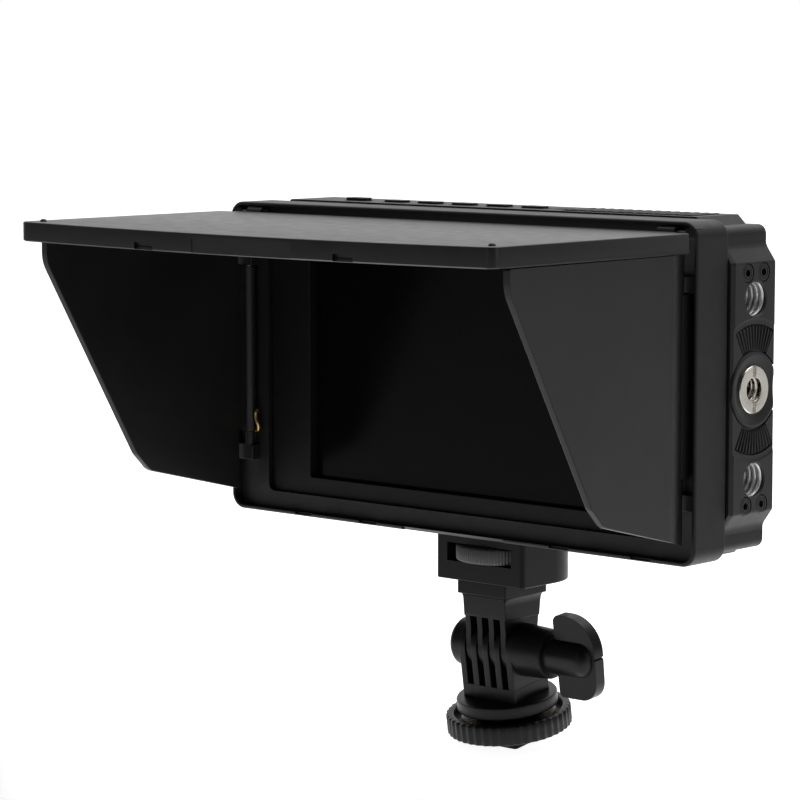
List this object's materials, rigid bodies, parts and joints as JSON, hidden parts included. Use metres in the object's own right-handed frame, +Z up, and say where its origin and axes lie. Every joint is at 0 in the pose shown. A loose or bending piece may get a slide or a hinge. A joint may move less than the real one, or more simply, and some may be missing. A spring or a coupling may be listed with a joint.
{
  "type": "camera field monitor with sun hood",
  "caption": "Camera-top field monitor with a detachable folding three-flap sun hood, tooth-rosette side plates and a tilting accessory-shoe stand with wing knob and lock ring.",
  "frame": {"origin": "centre of the underside of the shoe foot", "axes": "+X to the right seen from the screen side, +Y from the screen to the back, +Z up along the monitor's height; the foot's own axis leans 9 degrees from +Z, as the stand is set in the picture"},
  "size_m": [0.1612, 0.1175, 0.1432],
  "materials": {
    "hood_plastic": "fine matt texture",
    "flap_plastic": "satin",
    "pin_steel": "turned",
    "spring_brass": "drawn wire",
    "bumper_rubber": "matt",
    "bezel_plastic": "fine matt texture",
    "screen_glass": "polished",
    "panel_metal": "sheet",
    "board_green": "solder resist",
    "shell_plastic": "fine matt texture",
    "plate_metal": "satin black",
    "screw_black": "black oxide",
    "insert_steel": "bright",
    "bushing_nickel": "nickel plated",
    "button_plastic": "satin",
    "contact_gold": "gold plated",
    "socket_metal": "nickel plated",
    "socket_plastic": "moulded",
    "screw_steel": "dark zinc",
    "stand_plastic": "fine matt texture",
    "wheel_grey": "knurled",
    "knob_plastic": "satin",
    "foot_metal": "black anodised"
  },
  "bodies": {
    "foot": {"shoe_foot": "foot_metal", "swivel_washer": "spring_brass"},
    "lock_ring": {"lock_ring": "stand_plastic"},
    "clevis": {"clevis_base": "stand_plastic", "tilt_bolt": "pin_steel", "bolt_cap": "stand_plastic", "knob_washer": "screw_steel"},
    "knob": {"wing_knob": "knob_plastic"},
    "monitor": {"tilt_neck": "stand_plastic", "mount_block": "stand_plastic", "mount_pad": "bumper_rubber", "bottom_insert": "pin_steel", "rear_shell": "shell_plastic", "front_bezel": "bezel_plastic", "screen_glass": "screen_glass", "lcd_panel": "panel_metal", "main_board": "board_green", "side_plate_right": "plate_metal", "side_plate_left": "plate_metal", "side_plate_screws": "screw_black", "coil_inserts": "insert_steel", "centre_bushings": "bushing_nickel", "top_grille": "shell_plastic", "battery_plate": "shell_plastic", "battery_contacts": "contact_gold", "video_sockets": "socket_metal", "dc_socket": "socket_plastic", "headphone_socket": "socket_plastic", "rear_screws": "screw_steel"},
    "thumb_wheel": {"thumb_wheel": "wheel_grey", "mount_screw": "pin_steel"},
    "power_button": {"power_button": "button_plastic"},
    "input_button": {"input_button": "button_plastic"},
    "menu_button": {"menu_button": "button_plastic"},
    "down_button": {"down_button": "button_plastic"},
    "up_button": {"up_button": "button_plastic"},
    "function_button": {"function_button": "button_plastic"},
    "battery_latch": {"battery_latch": "button_plastic"},
    "hood": {"hood_frame": "hood_plastic", "top_hinge_pins": "pin_steel", "left_hinge_pin": "pin_steel", "right_hinge_pin": "pin_steel", "left_hinge_spring": "spring_brass", "right_hinge_spring": "spring_brass"},
    "top_flap": {"hood_top_flap": "flap_plastic", "flap_bumpers": "bumper_rubber"},
    "left_flap": {"hood_left_flap": "flap_plastic"},
    "right_flap": {"hood_right_flap": "flap_plastic"}
  },
  "joints": [
    {"name": "lock_ring_spin", "type": "hinge", "parent": "foot", "child": "lock_ring", "pos_m": [0, 0, 0], "axis": [0, -0.1564, 0.9877], "continuous": true},
    {"name": "stand_pan", "type": "hinge", "parent": "foot", "child": "clevis", "pos_m": [0, 0, 0], "axis": [0, -0.1564, 0.9877], "continuous": true},
    {"name": "stand_tilt", "type": "hinge", "parent": "clevis", "child": "monitor", "pos_m": [0, -0.00388, 0.02449], "axis": [1, 0, 0], "range_deg": [-80, 95]},
    {"name": "knob_spin", "type": "hinge", "parent": "clevis", "child": "knob", "pos_m": [0.018, -0.00388, 0.02449], "axis": [1, 0, 0], "continuous": true},
    {"name": "thumb_wheel_spin", "type": "hinge", "parent": "monitor", "child": "thumb_wheel", "pos_m": [0, -0.00388, 0.0499], "axis": [0, 0, 1], "continuous": true},
    {"name": "hood_pull_off", "type": "slide", "parent": "monitor", "child": "hood", "axis": [0, -1, 0], "range_m": [0, 0.012]},
    {"name": "top_flap_lift", "type": "hinge", "parent": "hood", "child": "top_flap", "pos_m": [0, -0.02428, 0.1378], "axis": [-1, 0, 0], "range_deg": [0, 20]},
    {"name": "left_flap_fold", "type": "hinge", "parent": "hood", "child": "left_flap", "pos_m": [-0.0732, -0.02428, 0.09849], "axis": [0, 0, 1], "range_deg": [0, 90.9], "stiffness_Nm_per_rad": 0.006, "springref_deg": -22.92},
    {"name": "right_flap_fold", "type": "hinge", "parent": "hood", "child": "right_flap", "pos_m": [0.0732, -0.02428, 0.09849], "axis": [0, 0, -1], "range_deg": [0, 90.9], "stiffness_Nm_per_rad": 0.006, "springref_deg": -22.92},
    {"name": "battery_latch_slide", "type": "slide", "parent": "monitor", "child": "battery_latch", "axis": [0, 0, -1], "range_m": [0, 0.0018], "stiffness_N_per_m": 400, "springref_m": -0.002},
    {"name": "power_press", "type": "slide", "parent": "monitor", "child": "power_button", "axis": [0, 0, -1], "range_m": [0, 0.0006], "stiffness_N_per_m": 600, "springref_m": -0.0015},
    {"name": "input_press", "type": "slide", "parent": "monitor", "child": "input_button", "axis": [0, 0, -1], "range_m": [0, 0.0006], "stiffness_N_per_m": 600, "springref_m": -0.0015},
    {"name": "menu_press", "type": "slide", "parent": "monitor", "child": "menu_button", "axis": [0, 0, -1], "range_m": [0, 0.0006], "stiffness_N_per_m": 600, "springref_m": -0.0015},
    {"name": "down_press", "type": "slide", "parent": "monitor", "child": "down_button", "axis": [0, 0, -1], "range_m": [0, 0.0006], "stiffness_N_per_m": 600, "springref_m": -0.0015},
    {"name": "up_press", "type": "slide", "parent": "monitor", "child": "up_button", "axis": [0, 0, -1], "range_m": [0, 0.0006], "stiffness_N_per_m": 600, "springref_m": -0.0015},
    {"name": "function_press", "type": "slide", "parent": "monitor", "child": "function_button", "axis": [0, 0, -1], "range_m": [0, 0.0006], "stiffness_N_per_m": 600, "springref_m": -0.0015}
  ]
}
